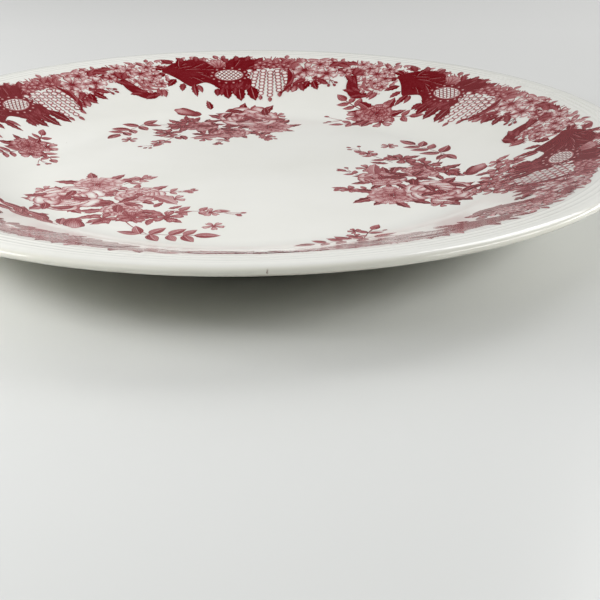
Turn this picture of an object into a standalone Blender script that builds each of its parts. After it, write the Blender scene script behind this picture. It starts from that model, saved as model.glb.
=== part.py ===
"""Round china serving platter with a printed floral border, at its real size.

Metres, +Z up. The origin is on the platter's axis, in the plane that it stands on.
One turned clay body stands on a foot ring. A clear glaze covers the face, wraps the
lip and runs down the back to the foot, and a second coat covers the base inside the
foot. The printed colours lie on the face: one border ring, three bouquets and three
small sprays. Nothing on the platter moves.
"""

import math

import bmesh
import bpy

# Driving dimensions
RADIUS = 0.155            # axis to the outside of the lip
HEIGHT = 0.028            # standing plane to the crest of the lip
LIP_THICKNESS = 0.0034
WALL = 0.0046             # whole wall in the well, glaze included
BAND_RADIUS = 0.142       # inner edge of the plain moulded band
BAND_DROP = 0.0009        # depth below the crest at that edge
COVE_RADIUS = 0.1023      # where the sloping rim turns into the cove
FLOOR_RADIUS = 0.0823     # flat floor of the well
FLOOR_DROP = 0.0186
THREAD_RADII = (0.1495, 0.1470, 0.1445)   # raised threads on the moulded band
THREAD_HEIGHT = 0.00025
THREAD_HALF_WIDTH = 0.0009

FOOT_OUTER = 0.0940       # foot ring, outer and inner radius
FOOT_INNER = 0.0860
FOOT_EDGE = 0.0012        # rounding of its standing edge

GLAZE = 0.0003            # coat thickness
GAP = 0.0003              # clearance between neighbouring solids
PRINT = 0.0003            # thickness given to a printed patch

BORDER_INNER = 0.106      # printed border ring on the rim
BORDER_OUTER = 0.141

TURN_STEPS = 64           # facets round the axis
COVE_STEPS = 5
LIP_STEPS = 6
PATCH_CELLS = 8           # cells along each side of a printed patch

# Printed patches on the well: name, centre radius, centre angle, radial half size, half width
BOUQUETS = (
    ("bouquet_print_left", 0.068, -139.0, 0.026, 0.045),
    ("bouquet_print_right", 0.072, -6.0, 0.026, 0.046),
    ("bouquet_print_back", 0.070, 103.0, 0.026, 0.043),
)
SPRAYS = (
    ("spray_print_front", 0.088, -65.0, 0.010, 0.022),
    ("spray_print_back", 0.094, 54.0, 0.010, 0.018),
    ("spray_print_left", 0.094, 164.0, 0.010, 0.018),
)

# The rim is a cone, and the cove is a parabola that leaves it with the same slope.
RIM_SLOPE = (FLOOR_DROP - BAND_DROP) / (BAND_RADIUS - (COVE_RADIUS + FLOOR_RADIUS) / 2)
BACK_FLOOR = HEIGHT - FLOOR_DROP - WALL   # height of the base's underside
LIP_RADIUS = LIP_THICKNESS / 2
CREST_RADIUS = RADIUS - LIP_RADIUS        # the lip is highest here
FULL_TURN = math.tau


# Profiles: lists of (radius, height), worked out from the dimensions above

def drop_at(radius):
    """Depth of the face below the crest of the lip."""
    if radius >= BAND_RADIUS:
        return BAND_DROP * (CREST_RADIUS - radius) / (CREST_RADIUS - BAND_RADIUS)
    if radius >= COVE_RADIUS:
        return BAND_DROP + RIM_SLOPE * (BAND_RADIUS - radius)
    up_the_cove = max(radius - FLOOR_RADIUS, 0.0)
    return FLOOR_DROP - RIM_SLOPE * up_the_cove ** 2 / (2 * (COVE_RADIUS - FLOOR_RADIUS))


def face_height(radius):
    return HEIGHT - drop_at(radius)


def cove_radii():
    step = (COVE_RADIUS - FLOOR_RADIUS) / COVE_STEPS
    return [FLOOR_RADIUS + step * index for index in range(COVE_STEPS + 1)]


def thread_points():
    """The raised threads of the band, from the innermost outwards."""
    points = []
    for radius in sorted(THREAD_RADII):
        points.append((radius - THREAD_HALF_WIDTH, face_height(radius - THREAD_HALF_WIDTH)))
        points.append((radius, face_height(radius) + THREAD_HEIGHT))
        points.append((radius + THREAD_HALF_WIDTH, face_height(radius + THREAD_HALF_WIDTH)))
    return points


def lip_points():
    """The half-round lip, from the crest over the outside to its underside."""
    turns = [math.pi * index / LIP_STEPS for index in range(LIP_STEPS + 1)]
    middle = HEIGHT - LIP_RADIUS
    return [
        (CREST_RADIUS + LIP_RADIUS * math.sin(angle), middle + LIP_RADIUS * math.cos(angle))
        for angle in turns
    ]


def back_height(radius):
    """Underside of the wall: thin below the lip, and the full wall from the cove inwards."""
    share = min((CREST_RADIUS - radius) / (CREST_RADIUS - COVE_RADIUS), 1.0)
    return face_height(radius) - LIP_THICKNESS - share * (WALL - LIP_THICKNESS)


def skin_profile():
    """The platter's whole outside: centre of the face, lip, then centre of the base."""
    face = [(0.0, face_height(0.0))]
    face += [(radius, face_height(radius)) for radius in cove_radii()]
    face += [(BAND_RADIUS, face_height(BAND_RADIUS))]
    face += thread_points()
    back = [(BAND_RADIUS, back_height(BAND_RADIUS))]
    back += [(radius, back_height(radius)) for radius in reversed(cove_radii())]
    back += [(0.0, BACK_FLOOR)]
    return face + lip_points() + back


def offset_inwards(points, distance):
    """The same open profile, moved into the wall. Its ends stay on the axis."""
    moved = []
    for index, (radius, height) in enumerate(points):
        before = points[max(index - 1, 0)]
        after = points[min(index + 1, len(points) - 1)]
        along = (after[0] - before[0], after[1] - before[1])
        length = math.hypot(*along)
        if index in (0, len(points) - 1):
            side = -1.0 if index == 0 else 1.0
            moved.append((0.0, height + side * distance))
            continue
        moved.append((
            radius + distance * along[1] / length,
            height - distance * along[0] / length,
        ))
    return moved


def cut_at_foot(points):
    """The part of a skin profile that lies outside the foot ring."""
    edge = FOOT_OUTER + GAP
    lip = max(range(len(points)), key=lambda index: points[index][0])
    kept = [point for index, point in enumerate(points) if index <= lip or point[0] > edge]
    inner = next(point for point in points[lip:] if point[0] <= edge)
    outer = kept[-1]
    share = (outer[0] - edge) / (outer[0] - inner[0])
    return kept + [(edge, outer[1] + share * (inner[1] - outer[1]))]


# Making objects

def clear_scene():
    for old in list(bpy.data.objects):
        bpy.data.objects.remove(old, do_unlink=True)


def new_collection(name):
    collection = bpy.data.collections.new(name)
    bpy.context.scene.collection.children.link(collection)
    return collection


def ceramic(name, colour, roughness, coat=0.0):
    material = bpy.data.materials.new(name)
    material.use_nodes = True
    shader = material.node_tree.nodes["Principled BSDF"]
    shader.inputs["Base Color"].default_value = (*colour, 1.0)
    shader.inputs["Roughness"].default_value = roughness
    shader.inputs["Metallic"].default_value = 0.0
    shader.inputs["Coat Weight"].default_value = coat
    return material


def add_object(name, mesh, collection, material):
    thing = bpy.data.objects.new(name, mesh)
    mesh.materials.append(material)
    mesh.shade_smooth()
    collection.objects.link(thing)
    return thing


def turn(name, points, collection, material, closed=False):
    """Turns a profile of (radius, height) points round the Z axis."""
    mesh = bpy.data.meshes.new(name)
    edges = [(index, index + 1) for index in range(len(points) - 1)]
    if closed:
        edges.append((len(points) - 1, 0))
    mesh.from_pydata([(radius, 0.0, height) for radius, height in points], edges, [])
    thing = add_object(name, mesh, collection, material)
    screw = thing.modifiers.new("turn", "SCREW")
    screw.axis = "Z"
    screw.angle = FULL_TURN
    screw.steps = TURN_STEPS
    screw.render_steps = TURN_STEPS
    screw.use_merge_vertices = True
    screw.merge_threshold = 0.00001
    return thing


def lay_patch(name, radius, degrees, half_radial, half_width, collection, material):
    """An oval printed patch that follows the face of the platter."""
    form = bmesh.new()
    bmesh.ops.create_grid(form, x_segments=PATCH_CELLS, y_segments=PATCH_CELLS, size=1.0)
    angle = math.radians(degrees)
    for vertex in form.verts:
        x, y = vertex.co.x, vertex.co.y
        outward = radius + half_radial * x * math.sqrt(1.0 - y * y / 2.0)
        across = half_width * y * math.sqrt(1.0 - x * x / 2.0)
        spot = (
            outward * math.cos(angle) - across * math.sin(angle),
            outward * math.sin(angle) + across * math.cos(angle),
        )
        vertex.co = (*spot, face_height(math.hypot(*spot)) + GAP)
    mesh = bpy.data.meshes.new(name)
    form.to_mesh(mesh)
    form.free()
    patch = add_object(name, mesh, collection, material)
    thicken = patch.modifiers.new("thickness", "SOLIDIFY")
    thicken.thickness = PRINT
    thicken.offset = 1.0
    return patch


# Parts

def make_body(collection):
    """The fired clay, everywhere one coat and one gap inside the platter's skin."""
    material = ceramic("biscuit", (0.78, 0.75, 0.68), 0.75)
    points = offset_inwards(skin_profile(), GLAZE + GAP)
    return turn("biscuit_body", points, collection, material)


def make_foot(collection):
    """The ring that the platter stands on. Its top follows the body's underside."""
    material = ceramic("bare_foot", (0.70, 0.64, 0.54), 0.85)
    between = [radius for radius in cove_radii() if FOOT_INNER < radius < FOOT_OUTER]
    outline = [(radius, back_height(radius) + GLAZE) for radius in [FOOT_INNER, *between, FOOT_OUTER]]
    chamfer = FOOT_EDGE * 0.3
    outline += [(FOOT_OUTER, FOOT_EDGE), (FOOT_OUTER - chamfer, chamfer), (FOOT_OUTER - FOOT_EDGE, 0.0)]
    outline += [(FOOT_INNER + FOOT_EDGE, 0.0), (FOOT_INNER + chamfer, chamfer), (FOOT_INNER, FOOT_EDGE)]
    return turn("foot_ring", outline, collection, material, closed=True)


def make_glazes(collection):
    """One coat over the face, lip and back, and one on the base inside the foot."""
    material = ceramic("clear_glaze", (0.86, 0.86, 0.82), 0.08, coat=1.0)
    outside = cut_at_foot(skin_profile())
    inside = cut_at_foot(offset_inwards(skin_profile(), GLAZE))
    turn("glaze_coat", outside + inside[::-1], collection, material)
    reach = FOOT_INNER - GAP
    flat = [(reach, back_height(reach)), (FLOOR_RADIUS, BACK_FLOOR), (0.0, BACK_FLOOR)]
    above = [(radius, height + GLAZE) for radius, height in reversed(flat)]
    turn("glaze_base", above + flat, collection, material)


def make_prints(collection):
    """The printed colours: a ring on the rim, then bouquets and sprays on the well."""
    material = ceramic("crimson_print", (0.42, 0.05, 0.09), 0.12, coat=1.0)
    radii = (BORDER_INNER, BORDER_OUTER)
    above = [(radius, face_height(radius) + GAP + PRINT) for radius in radii]
    below = [(radius, face_height(radius) + GAP) for radius in reversed(radii)]
    turn("border_print", above + below, collection, material, closed=True)
    for name, radius, degrees, half_radial, half_width in BOUQUETS + SPRAYS:
        lay_patch(name, radius, degrees, half_radial, half_width, collection, material)


def main():
    clear_scene()
    platter = new_collection("serving_platter")
    make_body(platter)
    make_foot(platter)
    make_glazes(platter)
    make_prints(platter)


main()
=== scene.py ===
"""The looks of the round china serving platter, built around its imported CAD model.

Everything is in metres in the CAD's own frame: +Z up, the origin on the platter's axis
in the plane it stands on. Flat drawings of the print are in millimetres, as complex
numbers, and are laid on the curved face when they become meshes.
"""

import math
import random

import bpy
import numpy as np
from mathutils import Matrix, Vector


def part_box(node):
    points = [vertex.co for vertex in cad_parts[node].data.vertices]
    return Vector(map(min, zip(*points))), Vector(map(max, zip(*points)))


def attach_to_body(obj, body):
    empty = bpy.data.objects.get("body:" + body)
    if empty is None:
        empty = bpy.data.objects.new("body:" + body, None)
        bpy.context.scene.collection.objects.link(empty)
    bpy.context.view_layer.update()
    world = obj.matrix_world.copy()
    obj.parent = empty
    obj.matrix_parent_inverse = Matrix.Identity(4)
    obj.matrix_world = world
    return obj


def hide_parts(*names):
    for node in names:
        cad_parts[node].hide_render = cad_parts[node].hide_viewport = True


MM = 0.001

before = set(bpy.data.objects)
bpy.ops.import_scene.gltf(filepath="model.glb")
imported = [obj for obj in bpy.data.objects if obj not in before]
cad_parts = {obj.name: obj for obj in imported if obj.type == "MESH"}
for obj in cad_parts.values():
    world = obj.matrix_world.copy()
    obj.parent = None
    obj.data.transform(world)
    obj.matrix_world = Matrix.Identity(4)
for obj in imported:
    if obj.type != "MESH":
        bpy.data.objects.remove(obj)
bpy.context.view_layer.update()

# Sizes from the CAD frame
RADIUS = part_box("glaze_coat")[1][0]
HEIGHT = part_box("glaze_coat")[1][2]
FOOT_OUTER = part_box("foot_ring")[1][0]
BORDER_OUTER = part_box("border_print")[1][0]

# The CAD's driving dimensions that a box can't give
LIP_THICKNESS = 0.0034
WALL = 0.0046
BAND_RADIUS = 0.142
BAND_DROP = 0.0009
COVE_RADIUS = 0.1023
FLOOR_RADIUS = 0.0823
FLOOR_DROP = 0.0186
THREAD_RADII = (0.1495, 0.1470, 0.1445)
THREAD_HALF_WIDTH = 0.0009
FOOT_INNER = 0.0860
FOOT_EDGE = 0.0012
COAT = 0.0003

# Softer here than in the CAD, as the photo shows them
THREAD_HEIGHT = 0.00014
SHOULDER = 0.0030          # half width of the soft turn between the band and the rim
CREST_TURN = 0.0012        # width of the soft turn onto the crest
LIP_WIDTH = 0.0034         # crest to the outside, seen from above
FILLET = 0.0012            # where the glaze turns towards the foot
FOOT_GAP = 0.00004         # between the glaze and the foot


def columns(*parts):
    return np.stack(parts, axis=-1)


def running(steps):
    """The sum of the steps so far, from 0."""
    return np.concatenate([[0], np.cumsum(steps)])


LIP_RADIUS = LIP_THICKNESS / 2
CREST_RADIUS = RADIUS - LIP_RADIUS
FACE_CREST = RADIUS - LIP_WIDTH
BAND_SLOPE = BAND_DROP / (FACE_CREST - CREST_TURN / 2 - BAND_RADIUS)
RIM_SLOPE = (FLOOR_DROP - BAND_DROP) / (BAND_RADIUS - (COVE_RADIUS + FLOOR_RADIUS) / 2)
BACK_FLOOR = HEIGHT - FLOOR_DROP - WALL

# Slopes of the face from the well outwards, joined by straight ramps, then summed into heights
SLOPE_RADII = np.array([
    0, FLOOR_RADIUS, COVE_RADIUS, BAND_RADIUS - SHOULDER, BAND_RADIUS + SHOULDER,
    FACE_CREST - CREST_TURN, FACE_CREST, RADIUS,
])
SLOPES = np.array([0, 0, RIM_SLOPE, RIM_SLOPE, BAND_SLOPE, BAND_SLOPE, 0, 0])
FINE_RADII = np.linspace(0, RADIUS, 6201)   # every 0.025 mm
FINE_SLOPES = np.interp(FINE_RADII, SLOPE_RADII, SLOPES)
FINE_RISE = running((FINE_SLOPES[1:] + FINE_SLOPES[:-1]) / 2 * FINE_RADII[1])


def face_height(radius):
    """Height of the face's surface without its raised threads."""
    return HEIGHT - FLOOR_DROP + np.interp(radius, FINE_RADII, FINE_RISE)


def face_slope(radius):
    return np.interp(radius, FINE_RADII, FINE_SLOPES)


def thread_height(radius):
    rise = np.zeros_like(radius)
    for middle in THREAD_RADII:
        share = np.clip(np.abs(radius - middle) / THREAD_HALF_WIDTH, 0, 1)
        rise += THREAD_HEIGHT * (0.5 + 0.5 * np.cos(np.pi * share))
    return rise


def back_height(radius):
    """Underside of the wall: thin below the lip, and the full wall from the cove inwards."""
    share = np.clip((CREST_RADIUS - radius) / (CREST_RADIUS - COVE_RADIUS), 0, 1)
    return face_height(radius) - LIP_THICKNESS - share * (WALL - LIP_THICKNESS)


# ---- materials

def new_material(name):
    """A material, its node tree, its shader and the coordinates of the object that wears it."""
    material = bpy.data.materials.new(name)
    material.use_nodes = True
    tree = material.node_tree
    where = add(tree, "ShaderNodeTexCoord").outputs["Object"]
    return material, tree, tree.nodes["Principled BSDF"], where


def add(tree, kind, **values):
    """A node with its properties and inputs set. A socket given as a value is linked."""
    node = tree.nodes.new(kind)
    for key, value in values.items():
        if hasattr(node, key):
            setattr(node, key, value)
        else:
            join(tree, node.inputs[key.replace("_", " ")], value)
    return node


def join(tree, socket, value):
    if isinstance(value, bpy.types.NodeSocket):
        tree.links.new(value, socket)
    else:
        socket.default_value = value


def math_node(tree, operation, first, second=0.0, third=0.0):
    node = tree.nodes.new("ShaderNodeMath")
    node.operation = operation
    for socket, value in zip(node.inputs, (first, second, third)):
        join(tree, socket, value)
    return node.outputs[0]


def times(tree, first, second):
    return math_node(tree, "MULTIPLY", first, second)


def less(tree, first, second):
    return math_node(tree, "SUBTRACT", first, second)


def at_least_0(tree, value):
    return math_node(tree, "MAXIMUM", value, 0.0)


def vector_math(tree, operation, first, second=(0.0, 0.0, 0.0)):
    node = add(tree, "ShaderNodeVectorMath", operation=operation)
    join(tree, node.inputs[0], first)
    join(tree, node.inputs[1], second)
    return node


def one_axis(tree, vector, axis):
    return add(tree, "ShaderNodeSeparateXYZ", Vector=vector).outputs[axis]


def coloured(tree, shader, colour, roughness):
    join(tree, shader.inputs["Base Color"], colour)
    join(tree, shader.inputs["Roughness"], roughness)


def bumped(tree, shader, height, strength, distance):
    bump = add(tree, "ShaderNodeBump", Strength=strength, Distance=distance, Height=height)
    join(tree, shader.inputs["Normal"], bump.outputs[0])


def ramp(tree, source, *stops):
    node = tree.nodes.new("ShaderNodeValToRGB")
    tree.links.new(source, node.inputs[0])
    elements = node.color_ramp.elements
    while len(elements) < len(stops):
        elements.new(0.5)
    for element, (place, colour) in zip(elements, stops):
        element.position = place
        element.color = (*colour, 1.0)
    return node.outputs[0]


def noise(tree, where, scale, detail):
    return add(tree, "ShaderNodeTexNoise", Scale=scale, Detail=detail, Vector=where).outputs["Fac"]


def mix_colour(tree, share, first, second):
    node = tree.nodes.new("ShaderNodeMix")
    node.data_type = "RGBA"
    join(tree, node.inputs[0], share)
    join(tree, node.inputs[6], first)
    join(tree, node.inputs[7], second)
    return node.outputs[2]


# Colours
GLAZE_LIGHT = (0.83, 0.83, 0.785)
GLAZE_DEEP = (0.795, 0.795, 0.745)
CREAM_LIGHT = (0.81, 0.80, 0.71)
CREAM_DEEP = (0.77, 0.755, 0.66)
STAIN = (0.18, 0.10, 0.045)
BISCUIT = (0.66, 0.60, 0.49)


def ripple(tree, shader, where):
    """The faint unevenness of a fired glaze."""
    broad = noise(tree, where, 45.0, 1.0)
    fine = noise(tree, where, 900.0, 1.0)
    both = math_node(tree, "MULTIPLY_ADD", fine, 0.03, broad)
    bumped(tree, shader, both, 0.10, 0.0006)


NICK_PLACE = (0.0120, -0.1545, HEIGHT - 0.0016)
NICK_SPREAD = (1500.0, 400.0, 560.0)       # 1 / its reach in metres, along each axis
DIRT_HEIGHT = HEIGHT - 0.0029
DIRT_RATE = 1400.0                         # 1 / half the height in metres of the line of dirt
CREAM_START = RADIUS - 0.0016
CREAM_RATE = 800.0                         # 1 / the width in metres of its soft edge


def lip_marks(tree, where):
    """How brown the lip is: one small nick at the front, and faint dirt low on its outer side."""
    spot = vector_math(tree, "SUBTRACT", where, NICK_PLACE)
    away = vector_math(tree, "LENGTH", vector_math(tree, "MULTIPLY", spot.outputs[0], NICK_SPREAD).outputs[0])
    edge = math_node(tree, "MULTIPLY_ADD", noise(tree, where, 2500.0, 2.0), 0.9, away.outputs["Value"])
    nick = ramp(tree, edge, (0.55, (0.85, 0.85, 0.85)), (1.0, (0.0, 0.0, 0.0)))
    height = one_axis(tree, where, "Z")
    low = math_node(tree, "ABSOLUTE", less(tree, height, DIRT_HEIGHT))
    band = at_least_0(tree, less(tree, 1.0, times(tree, low, DIRT_RATE)))
    patch = at_least_0(tree, less(tree, noise(tree, where, 60.0, 5.0), 0.45))
    dirt = times(tree, times(tree, patch, band), 1.6)
    return math_node(tree, "MAXIMUM", nick, dirt)


def glaze_material(name, light, deep):
    """Off-white glaze, very slightly uneven, with fine iron specks.

    It is creamier where it runs over the lip.
    """
    material, tree, shader, where = new_material(name)
    tone = ramp(tree, noise(tree, where, 18.0, 3.0), (0.35, deep), (0.62, light))
    flat = vector_math(tree, "MULTIPLY", where, (1.0, 1.0, 0.0))
    radius = vector_math(tree, "LENGTH", flat.outputs[0]).outputs["Value"]
    over = times(tree, less(tree, radius, CREAM_START), CREAM_RATE)
    over = math_node(tree, "MINIMUM", at_least_0(tree, over), 1.0)
    tone = mix_colour(tree, over, tone, (*CREAM_LIGHT, 1.0))
    specks = add(tree, "ShaderNodeTexVoronoi", Scale=160.0, Vector=where)
    chosen = add(tree, "ShaderNodeSeparateColor", Color=specks.outputs["Color"]).outputs[0]
    rare = math_node(tree, "GREATER_THAN", chosen, 0.985)
    near = math_node(tree, "LESS_THAN", specks.outputs["Distance"], 0.045)
    dot = times(tree, times(tree, rare, near), 0.55)
    marked = mix_colour(tree, dot, tone, (*STAIN, 1.0))
    marked = mix_colour(tree, lip_marks(tree, where), marked, (*STAIN, 1.0))
    coloured(tree, shader, marked, 0.10)
    ripple(tree, shader, where)
    return material


def print_material():
    """Crimson colour on the glaze: a film whose strength and line shading come with the drawing."""
    material, tree, shader, where = new_material("crimson_print")
    tone = add(tree, "ShaderNodeAttribute", attribute_name="tone").outputs["Fac"]
    grain = add(tree, "ShaderNodeAttribute", attribute_name="grain").outputs["Vector"]
    across = one_axis(tree, grain, "Y")
    lines = math_node(tree, "SINE", times(tree, across, 9.0))
    grit = noise(tree, where, 1400.0, 2.0)
    worn = noise(tree, where, 70.0, 3.0)
    shading = times(tree, lines, 0.16)
    shading = math_node(tree, "MULTIPLY_ADD", less(tree, grit, 0.5), 0.50, shading)
    shading = math_node(tree, "MULTIPLY_ADD", less(tree, worn, 0.5), 0.30, shading)
    middle = times(tree, tone, less(tree, 1.35, tone))
    strength = math_node(tree, "MULTIPLY_ADD", shading, times(tree, middle, 1.6), tone)
    colour = ramp(
        tree, strength,
        (0.0, GLAZE_LIGHT), (0.25, (0.60, 0.37, 0.365)), (0.50, (0.38, 0.125, 0.130)),
        (0.78, (0.235, 0.028, 0.036)), (1.0, (0.150, 0.001, 0.004)),
    )
    coloured(tree, shader, colour, 0.11)
    return material


def foot_material():
    """Glazed sides and a bare, slightly soiled standing edge."""
    material, tree, shader, where = new_material("bare_foot")
    height = one_axis(tree, where, "Z")
    ragged = math_node(tree, "MULTIPLY_ADD", noise(tree, where, 160.0, 3.0), 0.0012, height)
    bare = ramp(tree, times(tree, ragged, 400.0), (0.55, (1, 1, 1)), (0.64, (0, 0, 0)))
    clay = ramp(tree, noise(tree, where, 420.0, 4.0), (0.30, (0.47, 0.38, 0.27)), (0.62, BISCUIT))
    rough = math_node(tree, "MULTIPLY_ADD", bare, 0.62, 0.12)
    coloured(tree, shader, mix_colour(tree, bare, (*CREAM_LIGHT, 1.0), clay), rough)
    bumped(tree, shader, noise(tree, where, 2200.0, 3.0), 0.25, 0.0002)
    return material


def biscuit_material():
    """Fired clay under the glaze."""
    material, tree, shader, where = new_material("biscuit")
    grain = noise(tree, where, 700.0, 5.0)
    colour = ramp(tree, grain, (0.3, (0.58, 0.52, 0.42)), (0.7, BISCUIT))
    coloured(tree, shader, colour, 0.8)
    bumped(tree, shader, grain, 0.4, 0.0003)
    return material


# ---- turned pieces

TURN_STEPS = 512


def put_in_scene(name, data):
    thing = bpy.data.objects.new(name, data)
    bpy.context.scene.collection.objects.link(thing)
    return thing


def turned(name, profile, material):
    """A profile of (radius, height) turned round the Z axis. It is a loop, or starts and ends on the axis."""
    profile = np.asarray(profile)
    count = len(profile)
    angles = np.linspace(0, math.tau, TURN_STEPS, endpoint=False)
    on_axis = profile[:, 0] < 1e-9
    rings = np.flatnonzero(~on_axis)
    radius, height = profile[rings].T
    ring_points = columns(
        radius[:, None] * np.cos(angles), radius[:, None] * np.sin(angles),
        np.broadcast_to(height[:, None], (len(rings), TURN_STEPS)),
    ).reshape(-1, 3)
    poles = [(0, 0, end) for end in profile[on_axis, 1]]
    points = [*ring_points.tolist(), *poles]
    ends = np.flatnonzero(on_axis)
    first_of = {index: order * TURN_STEPS for order, index in enumerate(rings.tolist())}
    pole_of = {index: len(ring_points) + order for order, index in enumerate(ends.tolist())}
    pairs = [(here, (here + 1) % TURN_STEPS) for here in range(TURN_STEPS)]
    faces = []
    for index in range(count - 1 if on_axis.any() else count):
        other = (index + 1) % count
        if index in pole_of:
            pole, ring = pole_of[index], first_of[other]
            faces += [(pole, ring + a, ring + b) for a, b in pairs]
        elif other in pole_of:
            pole, ring = pole_of[other], first_of[index]
            faces += [(ring + b, ring + a, pole) for a, b in pairs]
        else:
            start, end = first_of[index], first_of[other]
            faces += [(start + b, start + a, end + a, end + b) for a, b in pairs]
    mesh = bpy.data.meshes.new(name)
    mesh.from_pydata(points, [], faces)
    mesh.materials.append(material)
    mesh.shade_smooth()
    mesh.set_sharp_from_angle(angle=math.radians(50))
    return put_in_scene(name, mesh)


def inwards(points, distance):
    """An open profile moved into the wall. A point on the axis stays on it."""
    points = np.asarray(points)
    along = np.gradient(points, axis=0)
    along /= np.linalg.norm(along, axis=1)[:, None]
    moved = points + distance * columns(along[:, 1], -along[:, 0])
    moved[points[:, 0] < 1e-9, 0] = 0
    return moved


def face_outline():
    """From the centre of the well over the rim and threads, and round the lip to its underside."""
    radii = np.concatenate([
        [0], np.linspace(0.008, FLOOR_RADIUS, 9), np.linspace(FLOOR_RADIUS, COVE_RADIUS, 30)[1:],
        np.linspace(COVE_RADIUS, BAND_RADIUS - SHOULDER, 12)[1:],
        np.linspace(BAND_RADIUS - SHOULDER, FACE_CREST, 56, endpoint=False)[1:],
    ])
    face = columns(radii, face_height(radii) + thread_height(radii))
    turns = np.linspace(0, math.pi, 41)
    width = np.where(turns < math.pi / 2, LIP_WIDTH, LIP_RADIUS)
    lip = columns(RADIUS - width * (1 - np.sin(turns)), HEIGHT - LIP_RADIUS + LIP_RADIUS * np.cos(turns))
    return np.concatenate([face, lip])


def make_glazed_face(material):
    outside = face_outline()
    thinned = np.concatenate([outside[:1], outside[1:-1:4], outside[-1:]])
    inside = inwards(thinned, COAT)[::-1]
    return turned("glazed_face", np.concatenate([outside, inside]), material)


def make_glazed_back(material):
    """From the lip's underside down the back, turning into a small fillet at the foot."""
    edge = FOOT_OUTER + FOOT_GAP
    radii = np.linspace(CREST_RADIUS, edge + FILLET, 60)
    back = columns(radii, back_height(radii))
    turns = np.linspace(0, math.pi / 2, 9)[1:]
    corner_height = back_height(edge + FILLET)
    corner = columns(edge + FILLET - FILLET * np.sin(turns), corner_height - FILLET + FILLET * np.cos(turns))
    outside = np.concatenate([back, corner])
    outside[0, 0] -= 0.00001       # a hair inside the lip's last ring
    inner = columns(radii[::5], back_height(radii[::5]) + COAT)
    end = np.array([[edge, back_height(edge) + COAT]])
    return turned("glazed_back", np.concatenate([outside, end, inner[::-1]]), material)


def make_glazed_base(material):
    """The disc of glaze inside the foot, with its own fillet."""
    edge = FOOT_INNER - FOOT_GAP
    turns = np.linspace(math.pi / 2, 0, 9)[:-1]
    corner = columns(edge - FILLET + FILLET * np.sin(turns), BACK_FLOOR - FILLET + FILLET * np.cos(turns))
    radii = np.linspace(edge - FILLET, 0.004, 16)
    under = columns(radii, np.full_like(radii, BACK_FLOOR))
    inside = BACK_FLOOR + COAT
    above = np.array([[0, inside], [FLOOR_RADIUS, inside], [edge, BACK_FLOOR + COAT * 1.4]])
    return turned("glazed_base", np.concatenate([above, corner, under, [[0, BACK_FLOOR]]]), material)


def make_foot(material):
    """The foot ring, softly rounded at its standing edge."""
    turns = np.linspace(0, math.pi / 2, 9)
    cos, sin = FOOT_EDGE * np.cos(turns), FOOT_EDGE * np.sin(turns)
    outer = columns(FOOT_OUTER - FOOT_EDGE + cos, FOOT_EDGE - sin)
    inner = columns(FOOT_INNER + FOOT_EDGE - sin, FOOT_EDGE - cos)[::-1]
    top_radii = np.linspace(FOOT_INNER, FOOT_OUTER, 7)
    top = columns(top_radii, back_height(top_radii) + COAT)
    return turned("standing_foot", np.concatenate([top, outer, inner]), material)


# ---- flat drawing

LONGEST_CELL = 1.6         # mm, so that a sheet follows the curve of the face
STACK_CELL = 1.2           # mm


def refined(values, parts, axis):
    """A grid with each of its cells split into parts along one axis."""
    values = np.moveaxis(values, axis, 0)
    place = np.linspace(0, len(values) - 1, (len(values) - 1) * parts + 1)
    index = np.minimum(place.astype(int), len(values) - 2)
    share = (place - index)[:, None]
    return np.moveaxis(values[index] * (1 - share) + values[index + 1] * share, 0, axis)


def every_other_first(count):
    """0, 2, 4 and so on, then 1, 3, 5: neighbours in a ring overlap without piling up."""
    return [*range(0, count, 2), *range(1, count, 2)]


def toward(way):
    """A unit step in a direction."""
    return np.exp(1j * way)


def directions(spine):
    """Unit steps along a line of points."""
    along = np.gradient(spine)
    return along / np.abs(along)


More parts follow.
